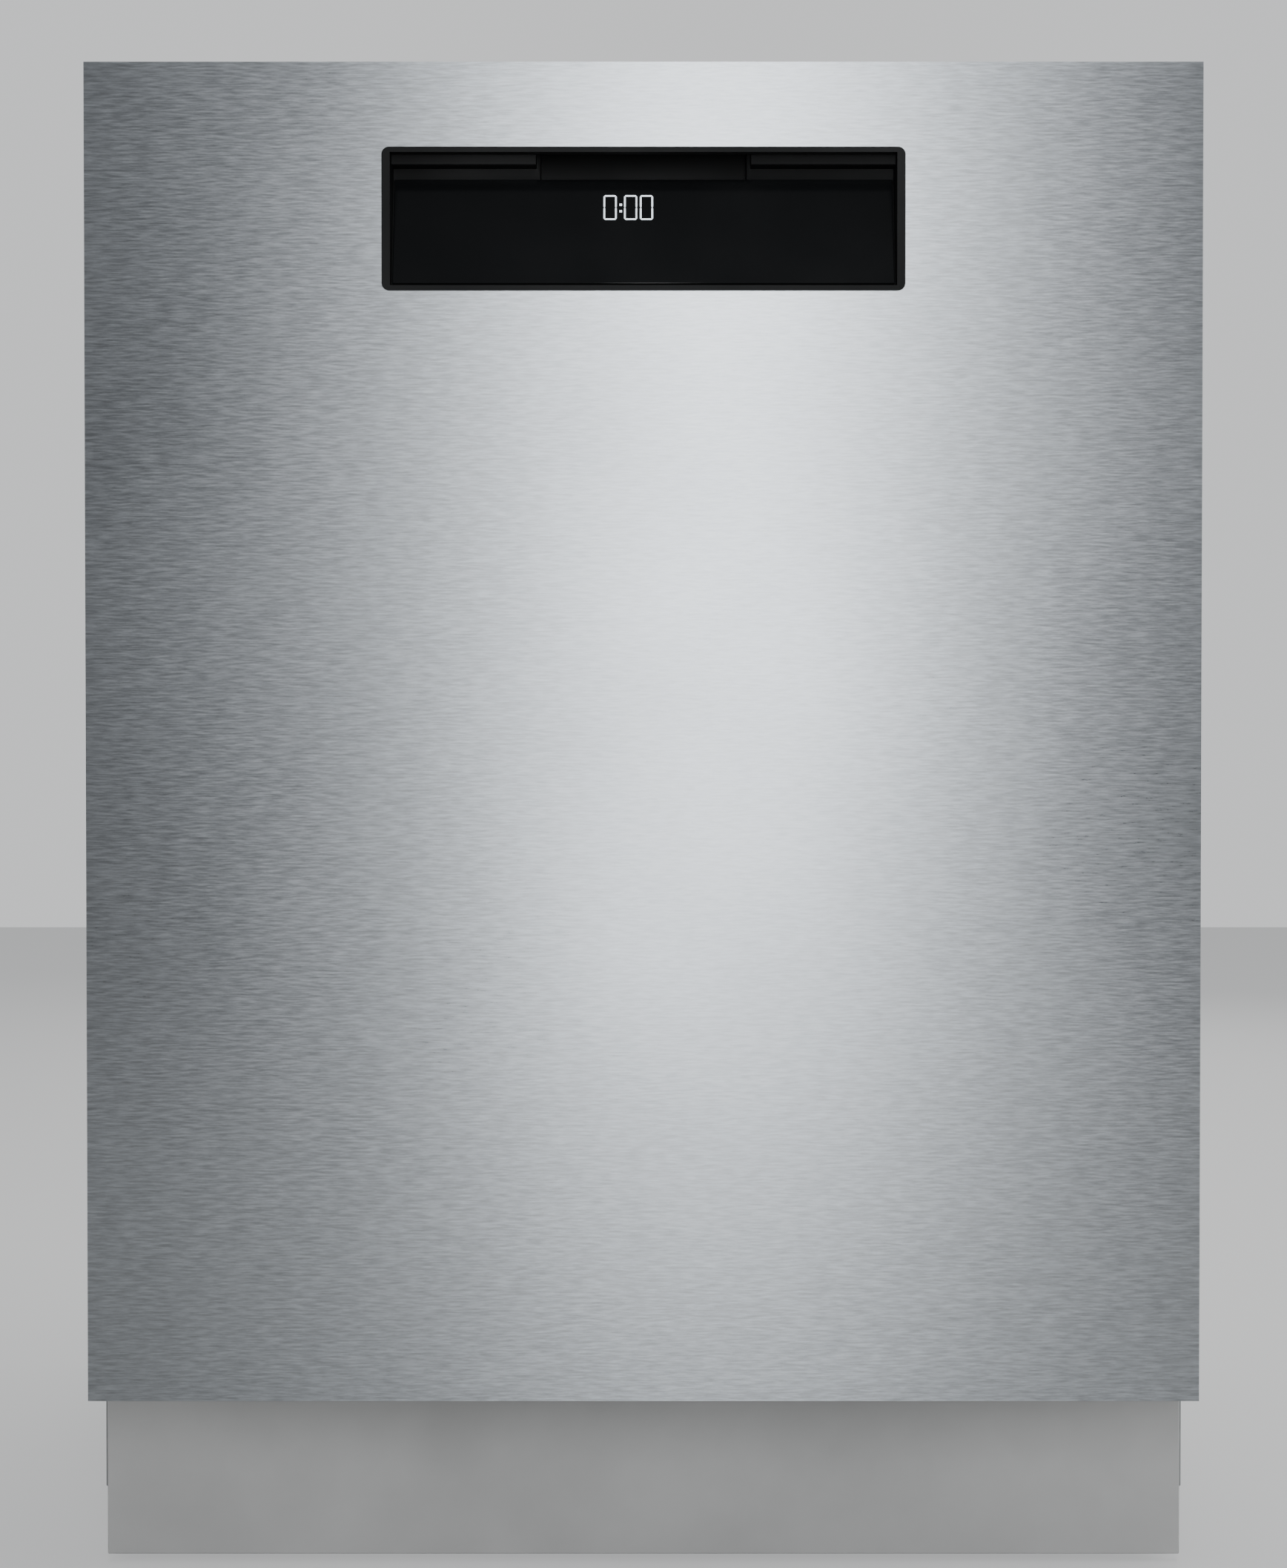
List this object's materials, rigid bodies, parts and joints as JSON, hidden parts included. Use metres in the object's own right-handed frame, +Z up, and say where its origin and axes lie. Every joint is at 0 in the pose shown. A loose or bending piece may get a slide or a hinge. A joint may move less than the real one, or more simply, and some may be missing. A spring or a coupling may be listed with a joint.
{
  "type": "built-in dishwasher",
  "caption": "Built-under dishwasher with a brushed steel door, pocket handle with a display, steel tub, pull-out wire racks, spray arms and adjustable feet.",
  "frame": {"origin": "on the floor, at the middle of the width and of the depth", "axes": "+Z up; the door faces -Y; +X is to the right of someone facing the door"},
  "size_m": [0.598, 0.57, 0.818],
  "materials": {
    "face_steel": "horizontally brushed stainless steel",
    "tub_steel": "bright pressed stainless steel",
    "liner_steel": "bright pressed stainless steel",
    "filter_steel": "perforated stainless steel",
    "galvanised_steel": "zinc coated sheet, dull spangle",
    "hinge_steel": "plain pressed steel",
    "spring_steel": "oiled coil spring",
    "rail_steel": "rolled stainless channel",
    "base_plastic": "black moulded plastic, fine texture",
    "foot_plastic": "dark moulded plastic",
    "kick_enamel": "pale enamelled sheet",
    "pocket_plastic": "satin black moulding",
    "window_glass": "gloss black tinted window",
    "strip_plastic": "satin black moulding",
    "button_plastic": "grey keys",
    "dispenser_plastic": "grey moulded plastic",
    "lid_plastic": "pale moulded plastic",
    "seal_rubber": "soft dark seal",
    "arm_plastic": "grey moulded plastic",
    "filter_plastic": "grey moulded plastic",
    "sump_plastic": "black glass-filled plastic",
    "tank_plastic": "natural white moulded plastic",
    "outlet_plastic": "grey moulded plastic",
    "roller_plastic": "grey acetal",
    "rack_coating": "grey nylon coated wire",
    "basket_plastic": "grey moulded plastic"
  },
  "bodies": {
    "cabinet": {"base_tray": "base_plastic", "kick_plate": "kick_enamel", "tub": "tub_steel", "tub_gasket": "seal_rubber", "left_side_panel": "galvanised_steel", "right_side_panel": "galvanised_steel", "top_cover": "galvanised_steel", "rear_cover": "galvanised_steel", "sump": "sump_plastic", "coarse_filter": "filter_steel", "softener_tank": "tank_plastic", "circulation_pump": "sump_plastic", "drain_pump": "sump_plastic", "water_inlet_valve": "tank_plastic", "drain_outlet": "outlet_plastic", "air_break": "tank_plastic", "spray_feed_pipe": "arm_plastic", "left_hinge_bracket": "hinge_steel", "right_hinge_bracket": "hinge_steel", "left_door_spring": "spring_steel", "right_door_spring": "spring_steel", "door_strike": "hinge_steel", "left_roller_plate": "roller_plastic", "right_roller_plate": "roller_plastic"},
    "door": {"door_front_panel": "face_steel", "handle_pocket": "pocket_plastic", "display_window": "window_glass", "control_strip": "strip_plastic", "inner_door_panel": "liner_steel", "dispenser_body": "dispenser_plastic", "lower_door_seal": "seal_rubber", "left_hinge_arm": "hinge_steel", "right_hinge_arm": "hinge_steel"},
    "lower_rack": {"lower_rack": "rack_coating"},
    "upper_rack": {"upper_rack": "rack_coating", "left_rack_rail": "rail_steel", "right_rack_rail": "rail_steel"},
    "latch": {"latch_lever": "hinge_steel"},
    "detergent_lid": {"detergent_lid": "lid_plastic"},
    "rinse_aid_cap": {"rinse_aid_cap": "dispenser_plastic"},
    "lower_arm": {"lower_spray_arm": "arm_plastic"},
    "upper_arm": {"upper_spray_arm": "arm_plastic"},
    "ceiling_arm": {"ceiling_sprayer": "arm_plastic"},
    "micro_filter": {"micro_filter": "filter_plastic"},
    "salt_cap": {"salt_cap": "filter_plastic"},
    "plate_tines": {"plate_tines": "rack_coating"},
    "cutlery_basket": {"cutlery_basket": "basket_plastic"},
    "left_cup_shelf": {"left_cup_shelf": "rack_coating"},
    "right_cup_shelf": {"right_cup_shelf": "rack_coating"},
    "front_left_wheel": {"front_left_wheel": "roller_plastic"},
    "front_right_wheel": {"front_right_wheel": "roller_plastic"},
    "rear_left_wheel": {"rear_left_wheel": "roller_plastic"},
    "rear_right_wheel": {"rear_right_wheel": "roller_plastic"},
    "front_left_foot": {"front_left_foot": "foot_plastic"},
    "front_right_foot": {"front_right_foot": "foot_plastic"},
    "rear_left_foot": {"rear_left_foot": "foot_plastic"},
    "rear_right_foot": {"rear_right_foot": "foot_plastic"},
    "power_button": {"power_button": "button_plastic"},
    "program_button": {"program_button": "button_plastic"},
    "start_button": {"start_button": "button_plastic"}
  },
  "joints": [
    {"name": "door_hinge", "type": "hinge", "parent": "cabinet", "child": "door", "pos_m": [0, -0.255, 0.125], "axis": [1, 0, 0], "range_deg": [0, 90]},
    {"name": "lower_rack_slide", "type": "slide", "parent": "cabinet", "child": "lower_rack", "axis": [0, -1, 0], "range_m": [0, 0.189]},
    {"name": "upper_rack_slide", "type": "slide", "parent": "cabinet", "child": "upper_rack", "axis": [0, -1, 0], "range_m": [0, 0.349]},
    {"name": "front_left_wheel_roll", "type": "hinge", "parent": "lower_rack", "child": "front_left_wheel", "pos_m": [-0.256, -0.065, 0.1753], "axis": [1, 0, 0], "range_deg": [0, 650]},
    {"name": "front_right_wheel_roll", "type": "hinge", "parent": "lower_rack", "child": "front_right_wheel", "pos_m": [0.256, -0.065, 0.1753], "axis": [1, 0, 0], "range_deg": [0, 650]},
    {"name": "rear_left_wheel_roll", "type": "hinge", "parent": "lower_rack", "child": "rear_left_wheel", "pos_m": [-0.256, 0.099, 0.1753], "axis": [1, 0, 0], "range_deg": [0, 650]},
    {"name": "rear_right_wheel_roll", "type": "hinge", "parent": "lower_rack", "child": "rear_right_wheel", "pos_m": [0.256, 0.099, 0.1753], "axis": [1, 0, 0], "range_deg": [0, 650]},
    {"name": "plate_tines_fold", "type": "hinge", "parent": "lower_rack", "child": "plate_tines", "pos_m": [-0.062, 0.057, 0.2123], "axis": [-1, 0, 0], "range_deg": [0, 90]},
    {"name": "cutlery_basket_lift", "type": "slide", "parent": "lower_rack", "child": "cutlery_basket", "axis": [0, 0, 1], "range_m": [0, 0.1]},
    {"name": "left_cup_shelf_fold", "type": "hinge", "parent": "upper_rack", "child": "left_cup_shelf", "pos_m": [-0.2437, 0.017, 0.572], "axis": [0, -1, 0], "range_deg": [0, 90]},
    {"name": "right_cup_shelf_fold", "type": "hinge", "parent": "upper_rack", "child": "right_cup_shelf", "pos_m": [0.2437, 0.017, 0.572], "axis": [0, 1, 0], "range_deg": [0, 90]},
    {"name": "upper_arm_spin", "type": "hinge", "parent": "upper_rack", "child": "upper_arm", "pos_m": [0, 0.018, 0.472], "axis": [0, 0, 1], "continuous": true},
    {"name": "lower_arm_spin", "type": "hinge", "parent": "cabinet", "child": "lower_arm", "pos_m": [0, 0.018, 0.176], "axis": [0, 0, 1], "continuous": true},
    {"name": "ceiling_arm_spin", "type": "hinge", "parent": "cabinet", "child": "ceiling_arm", "pos_m": [0, 0.018, 0.766], "axis": [0, 0, 1], "continuous": true},
    {"name": "micro_filter_twist", "type": "hinge", "parent": "cabinet", "child": "micro_filter", "pos_m": [0.095, -0.042, 0.15], "axis": [0, 0, 1], "range_deg": [0, 90]},
    {"name": "salt_cap_twist", "type": "hinge", "parent": "cabinet", "child": "salt_cap", "pos_m": [-0.15, 0.088, 0.155], "axis": [0, 0, 1], "range_deg": [0, 270]},
    {"name": "power_button_press", "type": "slide", "parent": "door", "child": "power_button", "axis": [0, 0, -1], "range_m": [0, 0.0012], "stiffness_N_per_m": 400},
    {"name": "program_button_press", "type": "slide", "parent": "door", "child": "program_button", "axis": [0, 0, -1], "range_m": [0, 0.0012], "stiffness_N_per_m": 400},
    {"name": "start_button_press", "type": "slide", "parent": "door", "child": "start_button", "axis": [0, 0, -1], "range_m": [0, 0.0012], "stiffness_N_per_m": 400},
    {"name": "detergent_lid_slide", "type": "slide", "parent": "door", "child": "detergent_lid", "axis": [0, 0, 1], "range_m": [0, 0.056]},
    {"name": "rinse_aid_cap_twist", "type": "hinge", "parent": "door", "child": "rinse_aid_cap", "pos_m": [0.04, -0.2228, 0.502], "axis": [0, 1, 0], "range_deg": [0, 90]},
    {"name": "latch_swing", "type": "hinge", "parent": "door", "child": "latch", "pos_m": [0.011, -0.2495, 0.8065], "axis": [0, 0, -1], "range_deg": [0, 20], "stiffness_Nm_per_rad": 0.2},
    {"name": "front_left_foot_screw", "type": "slide", "parent": "cabinet", "child": "front_left_foot", "axis": [0, 0, -1], "range_m": [0, 0.05]},
    {"name": "front_right_foot_screw", "type": "slide", "parent": "cabinet", "child": "front_right_foot", "axis": [0, 0, -1], "range_m": [0, 0.05]},
    {"name": "rear_left_foot_screw", "type": "slide", "parent": "cabinet", "child": "rear_left_foot", "axis": [0, 0, -1], "range_m": [0, 0.05]},
    {"name": "rear_right_foot_screw", "type": "slide", "parent": "cabinet", "child": "rear_right_foot", "axis": [0, 0, -1], "range_m": [0, 0.05]}
  ],
  "couplings": [
    {"joint": "lower_rack_slide", "follows": "door_hinge", "m_per_rad": 0.12},
    {"joint": "upper_rack_slide", "follows": "door_hinge", "m_per_rad": 0.222},
    {"joint": "front_left_wheel_roll", "follows": "door_hinge", "ratio": 7.0588},
    {"joint": "front_right_wheel_roll", "follows": "door_hinge", "ratio": 7.0588},
    {"joint": "rear_left_wheel_roll", "follows": "door_hinge", "ratio": 7.0588},
    {"joint": "rear_right_wheel_roll", "follows": "door_hinge", "ratio": 7.0588}
  ]
}
